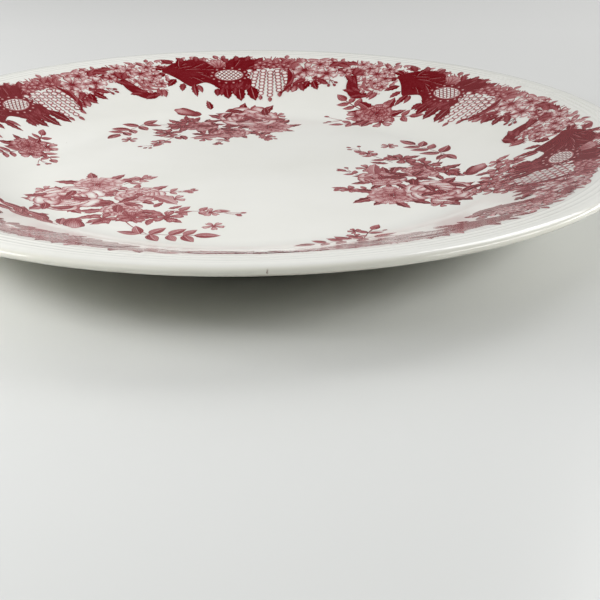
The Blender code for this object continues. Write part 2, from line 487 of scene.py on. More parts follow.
class Drawing:
    """Sheets of print, each a grid of complex points in millimetres with a tone for each point.

    A sheet lies one level above whatever it covers. Tone 0 is bare glaze and 1 is full colour.
    """

    def __init__(self, seed, strength=1.0):
        self.strength = strength
        self.sheets = []
        self.tops = {}
        self.random = random.Random(seed)

    def jitter(self, amount):
        return self.random.uniform(-amount, amount)

    def sheet(self, grid, tones):
        tones = np.broadcast_to(np.clip(tones, 0, 1), grid.shape)
        for axis in (0, 1):
            parts = math.ceil(np.abs(np.diff(grid, axis=axis)).max() / LONGEST_CELL)
            if parts > 1:
                grid, tones = refined(grid, parts, axis), refined(tones, parts, axis)
        middles = (grid[1:, 1:] + grid[:-1, :-1]) / 2
        places = np.concatenate([grid.reshape(-1), middles.reshape(-1)]) / STACK_CELL
        cells = {(math.floor(place.real), math.floor(place.imag)) for place in places.tolist()}
        near = {(x + i, y + j) for x, y in cells for i in (-1, 0, 1) for j in (-1, 0, 1)}
        level = 1 + max(self.tops.get(cell, 0) for cell in near)
        self.tops.update(dict.fromkeys(cells, level))
        self.sheets.append((grid, tones, level))

    def ribbon(self, spine, half, sides, tones):
        """A strip about a line of points, half wide to each side."""
        across = 1j * directions(spine)
        half = np.maximum(np.broadcast_to(half, spine.shape), 0.05)
        self.sheet(spine[:, None] + np.outer(across * half, sides), tones)

    def stem(self, start, heading, length, bend, width, tone, cells):
        spine = curved(start, heading, length, bend, cells)
        self.ribbon(spine, width / 2 * np.linspace(1.2, 0.7, cells), (-1, 1), tone)
        return spine[-1]

    def leaf(self, start, heading, length, width, bend, light, dark, teeth=0):
        """A pointed leaf with a pale midrib, one half lighter than the other."""
        cells = 2 * teeth + 1 if teeth else (6 if length < 6.5 else 8)
        t = np.linspace(0, 1, cells)
        half = width / 2 * np.sin(np.pi * t ** 0.8) ** 0.85
        if teeth:
            half = half * np.where(np.arange(cells) % 2 == 0, 1.0, 0.76)
        sides, tones = (-1, 0, 1), (light, (light + dark) * 0.35, dark)
        if length > 7.5:
            sides, tones = (-1, -0.10, 0, 0.10, 1), (light + 0.08, light, light * 0.3, dark, dark - 0.05)
        tones = np.array(tones)[None, :] + 0.14 * (1 - t[:, None])
        self.ribbon(curved(start, heading, length, bend, cells), half, sides, tones)

    def petal(self, start, heading, length, width, inner, outer, bend=0.0, notch=0.0, rim=0.3):
        """A petal, narrow at its foot and broad towards its end, with a darker rim."""
        small = length < 6.0
        cells = 5 if small else 8
        t = np.linspace(0, 1, cells)
        half = width / 2 * (0.16 + 0.84 * t ** 0.75) * np.sqrt(1.0 - t ** 6 * (0.75 if small else 0.96))
        spine = curved(start, heading, length, bend, cells)
        sides = np.array([-1, -0.4, 0.4, 1] if small else [-1, -0.84, -0.35, 0.35, 0.84, 1])
        along = directions(spine)
        grid = spine[:, None] + np.outer(1j * along * half, sides)
        pull = notch * length * np.outer(t ** 5, np.abs(sides) < 0.5)
        grid -= pull * along[:, None]
        fade = inner + (outer - inner) * np.clip(t * 1.3, 0, 1) ** 0.7
        edge = rim * np.clip(np.abs(sides) - 0.6, 0, 1)[None, :] / 0.4
        tip = rim * (t[:, None] > 0.98)
        self.sheet(grid, fade[:, None] + np.maximum(edge, tip))

    def disc(self, middle, radius, tone, squash=1.0, turn=0.0, cells=5, edge=0.0):
        """A filled oval, made from a square grid."""
        u = np.linspace(-1, 1, cells)
        x, y = np.meshgrid(u, u, indexing="ij")
        round_x = x * np.sqrt(1 - y * y / 2)
        round_y = y * np.sqrt(1 - x * x / 2)
        grid = middle + radius * (round_x + 1j * squash * round_y) * toward(turn)
        self.sheet(grid, tone + edge * (round_x ** 2 + round_y ** 2))

    def blossom(self, middle, radius, heading, inner, outer, petals=5):
        """A small open flower seen from above."""
        width = 4.0 * radius / petals
        for index in every_other_first(petals):
            way = heading + math.tau * index / petals + self.jitter(0.12)
            length = radius * (0.88 + self.jitter(0.1))
            foot = middle + 0.12 * radius * toward(way)
            self.petal(foot, way, length, width, inner, outer, notch=0.12)
        self.disc(middle, radius * 0.22, 0.85, cells=4)

    def rose(self, middle, radius, heading, pale):
        """A full bloom: rings of cupped petals, smaller and darker towards the heart."""
        rings = ((7, 1.0, 0.92), (6, 0.80, 0.80), (5, 0.60, 0.68), (4, 0.42, 0.52), (3, 0.27, 0.38))
        for ring, (count, reach, breadth) in enumerate(rings):
            for index in every_other_first(count):
                way = heading + ring * 0.5 + math.tau * index / count + self.jitter(0.15)
                foot = middle + radius * reach * 0.30 * toward(way)
                length = radius * reach * (0.70 + self.jitter(0.07))
                width = radius * breadth * (1 + self.jitter(0.12))
                turn = self.jitter(0.3)
                self.petal(foot, way, length * 1.05, width * 1.07, 0.8, 0.66, turn, 0, 0)
                shade = pale + 0.08 * self.random.random() + 0.03 * ring
                self.petal(foot, way, length, width, 0.85, shade, turn, 0.06, 0.30)
            for index in range(5 - ring if ring < 3 else 0):
                way = heading + math.tau * (index + 0.3 * ring) / (5 - ring) + self.jitter(0.4)
                wedge = radius * (0.46 - 0.12 * ring)
                foot = middle + radius * reach * 0.42 * toward(way)
                self.leaf(foot, way, wedge, wedge * 0.7, self.jitter(0.8), 0.78, 0.95)
        self.disc(middle, radius * 0.17, 0.80)
        for index in range(4):
            way = heading + 1.7 * index
            start = middle + radius * (0.05 + 0.035 * index) * toward(way)
            spine = curved(start, way + 1.2, radius * 0.24, 1.7, 6)
            self.ribbon(spine, radius * 0.030 * np.sin(np.linspace(0.3, 2.9, 6)), (-1, 1), 0.85)

    def carnation(self, middle, radius, heading, pale):
        """A ruffled flower of many narrow, notched petals."""
        for ring, (count, reach) in enumerate(((11, 1.0), (8, 0.72), (5, 0.44))):
            for index in every_other_first(count):
                way = heading + math.tau * ((index + 0.5 * ring) / count - 0.5) + self.jitter(0.1)
                foot = middle + radius * reach * 0.25 * toward(way)
                length = radius * reach * (0.75 + self.jitter(0.09))
                width = 1.3 * math.tau * radius * reach / count
                self.petal(foot, way, length, width, 0.80, pale + 0.08 * ring, 0, 0.16)
        self.disc(middle, radius * 0.12, 0.85, cells=4)

    def foliage(self, middle, radius, count, size, heading, light, dark):
        """Leaves that stand round a flower and point away from it."""
        for index in range(count):
            way = heading + math.tau * ((index + 0.5) / count - 0.5) + self.jitter(0.15)
            length = size * (1 + self.jitter(0.22))
            start = middle + radius * toward(way)
            shade = self.jitter(0.1)
            way += self.jitter(0.5)
            self.leaf(start, way, length, length * 0.46, self.jitter(0.5), light + shade, dark + shade, 4)

    def bud(self, start, heading, length, inner):
        """A closed flower on its cup of sepals."""
        for side, width, outer in ((0.42, 0.50, 0.62), (-0.42, 0.50, 0.72), (0.0, 0.46, 0.32)):
            reach = length * (1 - abs(side) * 0.25)
            self.petal(start, heading + side * 0.7, reach, length * width, inner, outer, -side)
        for side in (-0.9, 0.0, 0.9):
            self.leaf(start, heading + side, length * 0.36, length * 0.13, -side * 0.5, 0.8, 0.98)

    def sprig(self, start, heading, length, pairs, size, bend, light, dark, width=0.54):
        """A stem with leaves in pairs and one at its end."""
        spine = curved(start, heading, length, bend, 12)
        self.ribbon(spine, 0.2, (-1, 1), dark)
        for pair in range(pairs):
            place = (pair + 0.8) / (pairs + 0.25)
            index = min(int(place * 11), 10)
            way = heading + bend * place
            for side in (-1, 1):
                reach = size * (1 - 0.25 * place) * (1 + self.jitter(0.1))
                opening = side * (1.2 + self.jitter(0.12))
                self.leaf(spine[index], way + opening, reach, reach * width, -side * 0.35, light, dark)
        self.leaf(spine[-1], heading + bend, size, size * width, 0, light, dark)

    def berries(self, start, heading, reach, count, radius, tone):
        """Small buds on short threads."""
        for index in range(count):
            way = heading + 0.9 * (index - (count - 1) / 2) / (count - 1) + self.jitter(0.1)
            length = reach * (0.8 + 0.4 * self.random.random())
            end = self.stem(start, way, length, self.jitter(0.5), 0.22, 0.6, 5)
            self.disc(end, radius, tone, 1.35, way + math.pi / 2, 4, 0.15)

    def scroll(self, start, heading, length, curl, width, tone):
        """A C-scroll that swells in its middle and tightens towards its end."""
        t = np.linspace(0, 1, 22)
        turn = heading + curl * t ** 1.8
        spine = start + running(toward(turn[:-1]) * length / 21)
        half = width / 2 * np.sin(np.pi * np.clip(t * 0.93 + 0.04, 0, 1)) ** 0.9
        self.ribbon(spine, half, (-1, -0.3, 0.3, 1), tone)
        self.disc(spine[-1], width * 0.30, tone, cells=4)

    def between(self, lower, upper, across, tone):
        """A filled area between two lines with as many points each."""
        share = np.linspace(0, 1, across)
        self.sheet(np.outer(lower, 1 - share) + np.outer(upper, share), tone)

    def leaves(self, rows, breadth, bend, light, dark):
        """A toothed leaf for each row of x, y, heading and length."""
        for x, y, way, size in rows:
            self.leaf(complex(x, y), way, size, size * breadth, bend, light, dark, 4)

    def blossoms(self, rows, inner, outer):
        """A flower for each row of x, y and radius, turned at random."""
        for x, y, radius in rows:
            self.blossom(complex(x, y), radius, self.jitter(3), inner, outer)


def curved(start, heading, length, bend, cells):
    """Points along an arc that leaves start on a heading and turns by bend."""
    turn = heading + bend * (np.arange(cells - 1) + 0.5) / (cells - 1)
    return start + running(toward(turn) * length / (cells - 1))


def smooth_line(points, cells):
    """A smooth curve through a few complex points."""
    points = np.asarray(points, dtype=complex)
    padded = np.concatenate([[2 * points[0] - points[1]], points, [2 * points[-1] - points[-2]]])
    t = np.linspace(0, len(points) - 1, cells)
    index = np.minimum(t.astype(int), len(points) - 2)
    f = t - index
    a, b, c, d = (padded[index + shift] for shift in range(4))
    square, cube = 2 * a - 5 * b + 4 * c - d, 3 * b - a - 3 * c + d
    return 0.5 * (2 * b + (c - a) * f + square * f ** 2 + cube * f ** 3)


# ---- laying the print on the face

PRINT_RISE = 0.010 * MM       # the print's lowest level above the glaze
LEVEL_RISE = 0.0014 * MM      # one level above another
PRINT_SINK = 0.075 * MM       # undersides reach this far into the glaze
WIDEST_STRIP = 5.0            # mm


def sheet_faces(length, breadth, narrow):
    """Corners of a closed sheet's faces, and which of its top points have a point under them.

    A narrow sheet is closed from below by one strip between its long edges.
    """
    index = np.arange(length * breadth).reshape(length, breadth)
    top = columns(index[:-1, :-1], index[1:, :-1], index[1:, 1:], index[:-1, 1:]).reshape(-1, 4)
    if not narrow:
        edge = np.concatenate([index[:, 0], index[-1, 1:], index[-2::-1, -1], index[0, -2:0:-1]])
        after = np.roll(edge, -1)
        skirt = columns(after, edge, edge + index.size, after + index.size)
        return [top, top[:, ::-1] + index.size, skirt], index.reshape(-1)
    left, right = index[:, 0], index[:, -1]
    low_left = index.size + np.arange(length)
    low_right = low_left + length
    under = columns(low_left[:-1], low_right[:-1], low_right[1:], low_left[1:])
    left_side = columns(left[1:], left[:-1], low_left[:-1], low_left[1:])
    right_side = columns(right[:-1], right[1:], low_right[1:], low_right[:-1])
    first_end = np.array([[*index[0], low_right[0], low_left[0]]])
    last_end = np.array([[*index[-1, ::-1], low_left[-1], low_right[-1]]])
    return [top, under, left_side, right_side, first_end, last_end], np.concatenate([left, right])


def sheet_mesh(name, points, corners, sizes):
    mesh = bpy.data.meshes.new(name)
    mesh.vertices.add(len(points))
    mesh.vertices.foreach_set("co", points.astype(np.float32).reshape(-1))
    mesh.loops.add(len(corners))
    mesh.loops.foreach_set("vertex_index", corners.astype(np.int32))
    mesh.polygons.add(len(sizes))
    mesh.polygons.foreach_set("loop_start", running(sizes[:-1]).astype(np.int32))
    mesh.update(calc_edges=True)
    return mesh


def set_values(mesh, name, kind, key, values):
    """A value at each point, for the material to read."""
    values = np.concatenate(values).astype(np.float32).reshape(-1)
    mesh.attributes.new(name, kind, "POINT").data.foreach_set(key, values)


def lay_print(name, drawing, to_plate, material):
    """One mesh of a drawing's closed sheets. to_plate leads from the drawing's plane to the plate's."""
    points, corners, sizes, tones, grains = [], [], [], [], []
    total = 0
    for grid, tone, level in drawing.sheets:
        plan = (to_plate(grid) * MM).reshape(-1)
        narrow = np.abs(grid[:, -1] - grid[:, 0]).max() < WIDEST_STRIP
        faces, below = sheet_faces(*grid.shape, narrow)
        outline = plan.reshape(grid.shape)
        outline = np.concatenate([outline[:, 0], outline[-1], outline[::-1, -1], outline[0, ::-1]])
        if (np.conj(outline) * np.roll(outline, -1)).imag.sum() < 0:
            faces = [face[:, ::-1] for face in faces]
        surface = face_height(np.abs(plan))
        points.append(columns(plan.real, plan.imag, surface + PRINT_RISE + LEVEL_RISE * level))
        points.append(columns(plan.real, plan.imag, surface - PRINT_SINK)[below])
        corners += [face.reshape(-1) + total for face in faces]
        sizes += [np.full(*face.shape) for face in faces]
        length = running(np.abs(np.diff(grid[:, grid.shape[1] // 2])))
        breadth = running(np.abs(np.diff(grid[grid.shape[0] // 2])))
        grain = columns(*np.meshgrid(length, breadth, [level % 7], indexing="ij")).reshape(-1, 3)
        tone = tone.reshape(-1) * drawing.strength
        grains += [grain, grain[below]]
        tones += [tone, tone[below]]
        total += plan.size + below.size
    points = np.concatenate(points)
    mesh = sheet_mesh(name, points, np.concatenate(corners), np.concatenate(sizes))
    set_values(mesh, "tone", "FLOAT", "value", tones)
    set_values(mesh, "grain", "FLOAT_VECTOR", "vector", grains)
    radius = np.hypot(points[:, 0], points[:, 1])
    tilt = -face_slope(radius) / radius
    normals = columns(tilt * points[:, 0], tilt * points[:, 1], np.ones_like(radius))
    normals /= np.linalg.norm(normals, axis=1)[:, None]
    mesh.shade_smooth()
    mesh.normals_split_custom_set_from_vertices(normals.tolist())
    mesh.materials.append(material)
    return put_in_scene(name, mesh)


# ---- the border

REPEATS = 7
# Painted sheen: the two near repeats keep fewer leaves, so the border reads lighter on the near side, where
# the glaze's reflection pales it.
SHEEN_PAINTED_REPEATS = (4, 5)                      # printed more openly, to match the photo's near side
FULL_BARE, SHEEN_PAINTED_BARE = 0.12, 0.80          # share of the ground's leaves left out
PITCH_RADIUS = 125.0                       # where the drawing's x is measured, in mm
OUTER_EDGE = round(BORDER_OUTER / MM)
FIRST_MEDALLION = 149.5                    # degrees
GAPS = (53.0, 53.0, 53.0, 50.5, 50.5, 50.0, 50.0)   # degrees from each medallion clockwise to the next


def border_place(repeat):
    """From the border drawing's plane (x clockwise, y the radius) to the plate, between its neighbours."""
    start = math.radians(FIRST_MEDALLION - sum(GAPS[:repeat]))
    before, after = (GAPS[repeat + shift] * REPEATS / 360 for shift in (-1, 0))

    def place(grid):
        stretch = np.where(grid.real > 0, after, before)
        return grid.imag * toward(start - stretch * grid.real / PITCH_RADIUS)
    return place


LEAF_STEP, LEAF_ROW = 2.55, 2.9            # spacing of the ground's leaves along and across the border
FLOWER_STEP, FLOWER_ROW = 3.1, 5.2         # and of its flowers


def draw_ground(art, bare):
    """Small leaves and flowers over the full width of the border, down to its wavy inner edge.

    bare is the share of the leaves' places left empty.
    """
    edge = (
        (-34, 113), (-28, 122), (-22, 131), (26, 131), (29, 116), (33, 111), (38, 112), (45, 118),
        (50, 124), (56, 127), (60, 124), (64, 117), (70, 112), (76, 112), (78, 113),
    )
    places, lows = np.array(edge, dtype=float).T
    for column in range(44):
        x = -33 + LEAF_STEP * column
        low = np.interp(x, places, lows)
        for row in range(int((OUTER_EDGE - 1 - low) / LEAF_ROW)):
            if art.random.random() < bare:
                continue
            y = OUTER_EDGE - 1.5 - LEAF_ROW * row + art.jitter(0.8)
            length = 4.4 + art.jitter(1.0)
            light = 0.32 + art.jitter(0.18)
            foot, way = complex(x + art.jitter(0.9), y), art.jitter(3.1)
            art.leaf(foot, way, length, length * 0.50, art.jitter(0.5), light, light + 0.34)
    for column in range(17):
        x = 27 + FLOWER_STEP * column
        low = np.interp(x, places, lows) + 2.5
        for row in range(int((138 - low) / FLOWER_ROW) + 1):
            y = low + FLOWER_ROW * (row + column % 2 / 2) + art.jitter(0.7)
            if y < 138 and art.random.random() < 0.55:
                middle, radius = complex(x + art.jitter(0.8), y), 2.9 + art.jitter(0.6)
                art.blossom(middle, radius, art.jitter(3), 0.70, 0.04)


def draw_wing(art):
    """The dark wave to the left of the medallion, arching over a white bay."""
    lower = (-31 + 131j, -26 + 125j, -20.5 + 117j, -16 + 118.5j, -12 + 119.5j, -8.5 + 117j, -5 + 113j)
    upper = (-31 + 132j, -27 + 136j, -21 + 139j, -15 + 140j, -10 + 138j, -7 + 133j, -6.5 + 125j)
    lower, upper = smooth_line(lower, 22), smooth_line(upper, 22)
    art.between(lower, upper, 6, 0.93)
    rows = (
        (-29, 133, 2.6, 8), (-25, 137, 2.1, 7), (-30, 129, 3.3, 8), (-26, 124, 3.8, 8),
        (-20, 138, 1.8, 6), (-14, 138, 1.4, 6), (-23, 120, 4.2, 7),
    )
    art.leaves(rows, 0.55, 0.3, 0.78, 0.98)
    for index in range(16):
        x = -25 + 1.35 * index
        low, top = np.interp(x, lower.real, lower.imag), np.interp(x, upper.real, upper.imag)
        y = low + (0.25 + 0.5 * art.random.random()) * (top - low)
        art.leaf(complex(x, y), 0.5 + art.jitter(1.2), 8, 3.8, art.jitter(0.5), 0.80, 0.99, 4)
    art.leaf(-18 + 119j, -1.75, 11, 4.2, 0.25, 0.7, 0.92, 5)
    art.leaf(-16.5 + 118j, -1.2, 7, 2.8, -0.4, 0.6, 0.85)


WINDOW_MIDDLE = 125j
WINDOW_HALVES = (6.3, 4.1)         # half its width and height
LATTICE_SPACING = 1.7
LATTICE_SLANT = math.radians(50)
LATTICE_LINE = 0.24                # half width of a line


def draw_medallion(art):
    """A dark frame round an oval window of fine lattice."""
    lower = smooth_line([-8 + 116j, -4 + 112.5j, 1 + 111.5j, 6 + 111.5j, 11 + 113.5j], 12)
    upper = smooth_line([-8 + 124j, -3 + 126j, 2 + 126j, 7 + 124j, 11 + 121j], 12)
    art.between(lower, upper, 5, 0.95)
    for index in range(11):
        foot, way = complex(-6 + 1.6 * index, 118 + art.jitter(1.5)), -1.5 + art.jitter(0.5)
        art.leaf(foot, way, 7, 3.6, art.jitter(0.4), 0.82, 0.99, 4)
    middle = 124.8j
    art.disc(middle, 9.2, 0.95, 0.80, cells=9)
    for index in range(14):
        way = math.tau * index / 14
        art.disc(middle + 8.6 * math.cos(way) + 6.6j * math.sin(way), 1.5, 0.92, cells=4)
        art.disc(middle + 8.5 * math.cos(way) + 6.5j * math.sin(way), 0.55, 0.30, cells=3)
    art.disc(WINDOW_MIDDLE, 7.0, 0.45, 0.68, cells=9)
    art.disc(WINDOW_MIDDLE, 6.5, 0.03, 0.66, cells=9)
    for slant in (-LATTICE_SLANT, LATTICE_SLANT):
        for step in range(-6, 7):
            draw_lattice_line(art, slant, step * LATTICE_SPACING)


def draw_lattice_line(art, angle, shift):
    """One straight line, clipped to the window."""
    wide, high = WINDOW_HALVES
    direction = complex(math.cos(angle), math.sin(angle))
    base = shift * 1j * direction
    a = (direction.real / wide) ** 2 + (direction.imag / high) ** 2
    b = 2 * (base.real * direction.real / wide ** 2 + base.imag * direction.imag / high ** 2)
    c = (base.real / wide) ** 2 + (base.imag / high) ** 2 - 1
    inside = b * b - 4 * a * c
    if inside > 0.02:
        ends = (-b - math.sqrt(inside)) / (2 * a), (-b + math.sqrt(inside)) / (2 * a)
        line = WINDOW_MIDDLE + base + direction * np.linspace(*ends, 3)
        art.ribbon(line, LATTICE_LINE, (-1, 1), 0.80)


def draw_tips(art):
    """Dark pointed leaves that hang inwards under the medallion."""
    rows = (
        (-6.5, 114, -1.8, 6.5, 4.2), (-2.0, 114, -1.6, 9.0, 6.2), (-3.5, 115, -1.9, 7.5, 4.0),
        (4.5, 114, -1.55, 11.0, 6.8), (3.0, 115, -1.8, 7.0, 4.0), (10.8, 115, -1.4, 12.0, 7.0),
    )
    for x, y, way, length, width in rows:
        art.leaf(complex(x, y), way, length, width, 0.12, 0.90, 0.99, 4)


def draw_crown(art):
    """The dark lobes over the medallion and the pale shell between them."""
    for index in every_other_first(7):
        art.petal(-4 + 131j, 0.9 + 0.22 * index, 8.5, 2.6, 0.8, 0.30, 0, 0.1)
    lower = smooth_line([-1 + 131j, 4 + 130.5j, 9 + 128.5j, 13 + 126j], 12)
    upper = smooth_line([-1 + 137j, 4 + 140.5j, 9 + 140j, 14 + 137j], 12)
    art.between(lower, upper, 5, 0.94)
    rows = (
        (0, 136, 1.9, 6), (4, 137, 1.5, 6), (8, 137, 1.2, 6),
        (12, 135, 0.9, 7), (3, 132, 1.1, 8), (9, 131, 0.6, 8),
    )
    art.leaves(rows, 0.55, 0.2, 0.80, 0.98)
    for index in range(12):
        x = 12 + 1.5 * index
        foot, way = complex(x, 130.5 + art.jitter(0.8)), 1.0 + art.jitter(0.5)
        art.leaf(foot, way, 7.5, 3.6, art.jitter(0.5), 0.52, 0.82, 4)
        foot, way = complex(x + 0.7, 134 + art.jitter(0.8)), 0.8 + art.jitter(0.6)
        art.leaf(foot, way, 6.2, 3.0, art.jitter(0.5), 0.46, 0.76)
    art.blossoms(((15, 133.5, 3.1), (21, 134.5, 3.1), (26, 132, 3.1)), 0.8, 0.25)


def draw_scales(art):
    """Columns of open lozenges that fan inwards to the right of the medallion."""
    for column in range(6):
        foot = 9.8 + 3.35 * column
        rows = (5, 7, 8, 8, 7, 5)[column]
        slant = -0.10 + 0.045 * column
        for row in range(rows):
            y = 128.5 - 2.75 * row - 1.4 * (column % 2)
            middle = complex(foot + slant * (128 - y) * 2.0, y)
            art.disc(middle, 1.80, 0.50 + art.jitter(0.08), 0.92, slant + math.pi / 4, 4)
            art.disc(middle, 1.12, 0.05, 0.92, slant + math.pi / 4, 4)
        end = complex(foot + slant * rows * 5.5, 129.5 - 2.75 * rows - 1.4 * (column % 2))
        art.leaf(end, -1.5 + slant, 3.8, 2.4, 0, 0.5, 0.8)


def draw_bracket(art):
    """The curved stroke that closes the panel of lozenges."""
    art.scroll(28 + 131j, -1.25, 22, -1.1, 3.0, 0.88)
    art.scroll(31 + 128j, -1.4, 14, -1.2, 1.4, 0.66)


def draw_garland(art):
    """Blossoms, leaves and buds that fill the rim between panel and scroll."""
    inner = (
        (40, 121, -1.9, 8.5), (38, 122, -2.6, 7.5), (42, 121, -1.2, 8.0), (41, 123, 0.4, 7.0),
        (36, 119, -1.3, 7.5), (44, 123, -0.7, 7.5), (38, 125, 2.6, 7),
    )
    outer = (
        (48, 136, 0.2, 8.5), (51, 133, -0.4, 8.5), (53, 138, 0.1, 7), (47, 134, 1.0, 7), (50, 137, -0.2, 7),
    )
    art.leaves(inner, 0.55, 0.3, 0.74, 0.96)
    art.leaves(outer, 0.52, -0.3, 0.66, 0.92)
    art.blossom(36 + 130j, 6.2, 0.4, 0.8, 0.06, 6)
    art.blossom(47 + 128j, 5.6, 1.1, 0.75, 0.0)
    art.blossom(42.5 + 135.5j, 4.2, 0.2, 0.8, 0.12)
    art.bud(34 + 118j, -1.7, 7.0, 0.8)
    art.bud(30 + 119j, -1.5, 6.0, 0.8)
    art.berries(50 + 123j, -0.9, 5.0, 3, 0.8, 0.62)
    art.blossom(55.5 + 130j, 3.4, 0.7, 0.7, 0.14)


def draw_comma(art):
    """The dark scroll leaf that ends the white bay."""
    bend = (60.5 + 128j, 61.5 + 123j, 63.5 + 117.5j, 67 + 112.8j, 71 + 112j, 72.6 + 114.6j)
    spine = smooth_line(bend, 20)
    half = 3.0 * np.sin(np.pi * np.linspace(0.10, 0.97, 20)) ** 0.8
    art.ribbon(spine, half, (-1, -0.4, 0.4, 1), 0.93)
    for index in range(6):
        way = -1.2 + 0.28 * index + math.pi * (index % 2)
        art.leaf(spine[3 * index + 1], way, 6.5, 3.2, 0.4, 0.80, 0.98, 4)
    art.scroll(67 + 127j, -1.5, 15, 1.9, 1.7, 0.55)
    art.scroll(70.5 + 127j, -1.4, 13, 1.7, 1.3, 0.5)
    art.leaf(61 + 128j, 1.9, 7.5, 3.8, -0.4, 0.7, 0.94, 4)
    art.leaf(61 + 128j, 0.9, 7.0, 3.6, 0.3, 0.66, 0.92, 4)


def draw_cluster(art):
    """Pale blossoms between the scroll and the next wing."""
    rows = (
        (66, 135, 3.4), (71, 131, 4.0), (75, 136, 3.2), (76.5, 128, 3.8), (73, 123, 3.0), (78, 121, 3.2),
        (62, 133, 2.8),
    )
    art.blossoms(rows, 0.75, 0.12)
    art.leaf(75 + 117j, -1.7, 6.4, 3.0, 0.2, 0.5, 0.8)
    art.leaf(78 + 116j, -1.9, 6.4, 3.0, 0.2, 0.45, 0.75)


def draw_fringe(art):
    """Short hairs along the outer edge of the border."""
    for index in range(62):
        x = -33 + 1.8 * index + art.jitter(0.4)
        start = complex(x, 138.4 + 0.7 * math.sin(0.9 * index))
        way = 1.57 + 0.5 * math.sin(0.55 * index) + art.jitter(0.15)
        art.stem(start, way, 2.4 + art.jitter(0.5), 0.3, 0.5, 0.60, 3)


def border_drawing(bare):
    art = Drawing(11)
    draw_fringe(art)
    draw_ground(art, bare)
    for part in (draw_cluster, draw_garland, draw_comma, draw_wing, draw_crown, draw_scales,
                 draw_bracket, draw_medallion, draw_tips):
        part(art)
    return art


# ---- bouquets and sprays

def well_place(radius, degrees, size):
    """From a well drawing's plane (x anticlockwise, y outwards) to the plate, enlarged by size."""
    turn = toward(math.radians(degrees))

    def place(grid):
        return turn * (radius + size * (grid.imag + 1j * grid.real))
    return place


def bouquet_drawing(seed, strength, pale):
    """A mass of open flowers and leaves with light sprigs trailing to one side."""
    art = Drawing(seed, strength)
    art.stem(26 - 8j, 0.25, 22, -0.5, 0.5, 0.8, 8)
    art.sprig(47 - 6j, -0.90, 19, 3, 9.6, -0.1, 0.50, 0.80)
    art.leaf(47 - 6j, 2.3, 9.0, 4.2, 0.2, 0.5, 0.84)
    art.leaf(47 - 6j, -3.0, 9.0, 4.2, 0.2, 0.5, 0.84)
    art.sprig(29 - 25j, -0.95, 17, 2, 6.6, -0.1, 0.54, 0.88, 0.56)
    art.sprig(6 - 29j, -1.3, 12, 1, 5.4, 0.25, 0.44, 0.76)
    art.sprig(-9 - 24j, -1.9, 11, 2, 5.4, 0.25, 0.46, 0.78)
    rows = (
        (-4, 2, 11, 12), (-14, -15, 8, 10), (5, -22, 7, 9), (22, -9, 8, 9), (29, -20, 7, 8), (12, 8, 5, 9),
    )
    for x, y, count, size in rows:
        art.foliage(complex(x, y), 6.5, count, size, art.jitter(3), 0.62, 0.96)
    rows = ((53, -32, 4.2), (39, -38, 4.4), (-19, 5, 4.4), (18, -33, 5.0), (-12, -33, 4.2))
    art.blossoms(rows, 0.80, pale + 0.30)
    art.carnation(-14 - 15j, 10.5, -2.4, pale + 0.16)
    art.rose(6 - 24j, 9.5, 0.5, pale + 0.06)
    art.leaf(10 - 28j, -0.35, 15, 7.0, 0.25, 0.30, 0.62, 4)
    art.rose(19 - 11j, 8.0, 1.1, pale + 0.08)
    for x, y, radius in ((29, -11, 6.2), (35, -22, 6.4), (25, -1, 5.2)):
        art.foliage(complex(x, y), 2.0, 5, 5.6, art.jitter(3), 0.76, 0.98)
        art.blossom(complex(x, y), radius, art.jitter(3), 0.95, 0.48)
    art.foliage(11 - 13j, 2.0, 5, 9.5, 0.3, 0.80, 0.98)
    art.rose(-5 + 2j, 14.5, 0.3, pale - 0.04)
    for x, y, way in ((-12, -4, 0.4), (2, -6, 2.2), (7, 3, 1.7), (-3, 11, 0.1), (-14, 6, 1.2)):
        art.leaf(complex(x, y), way, 9.0, 3.8, 0.7, 0.80, 0.98)
    art.bud(19 + 8j, 0.35, 14, 0.98)
    art.berries(11 - 38j, -1.3, 6, 3, 0.9, 0.55)
    art.berries(-12 - 33j, -1.8, 5, 3, 0.9, 0.5)
    art.berries(42 - 42j, -0.9, 6, 3, 0.9, 0.6)
    return art


def with_outer_cluster(art):
    """Adds loose blossoms and leaves that lead from a bouquet up to the border."""
    rows = (
        (1, 17, 2.6), (8, 17, 1.9), (16, 18, 1.4), (24, 18, 1.0), (31, 18, 0.6), (5, 22, 2.2), (14, 24, 1.6),
        (24, 24, 1.2),
    )
    for x, y, way in rows:
        art.leaf(complex(x, y), way, 7.0, 3.8, 0.3, 0.50, 0.80, 4)
    rows = (
        (-3, 18, 4.6), (-8, 23, 4.4), (-1, 26, 4.4), (-13, 29, 4.2), (-6, 30, 4.2), (3, 20, 4.2),
        (12, 19, 4.6), (21, 20, 4.6), (30, 19, 4.2), (8, 26, 4.4), (18, 26, 4.4), (27, 26, 4.0),
    )
    art.blossoms(rows, 0.78, 0.30)
    return art


def with_outer_sprig(art):
    """Adds the loose leaves between a bouquet and the border's inner edge."""
    art.stem(27 + 17j, 2.5, 26, 0.2, 0.6, 0.8, 8)
    rows = (
        (25, 18, 2.7), (19, 22, 2.4), (14, 23, 2.9), (9, 27, 2.5), (21, 20, 3.3), (12, 25, 3.4), (5, 30, 2.6),
        (17, 17, 2.6), (6, 22, 2.5), (-2, 27, 2.7),
    )
    for x, y, way in rows:
        art.leaf(complex(x, y), way, 12.0, 5.4, 0.3, 0.62, 0.92)
    return art


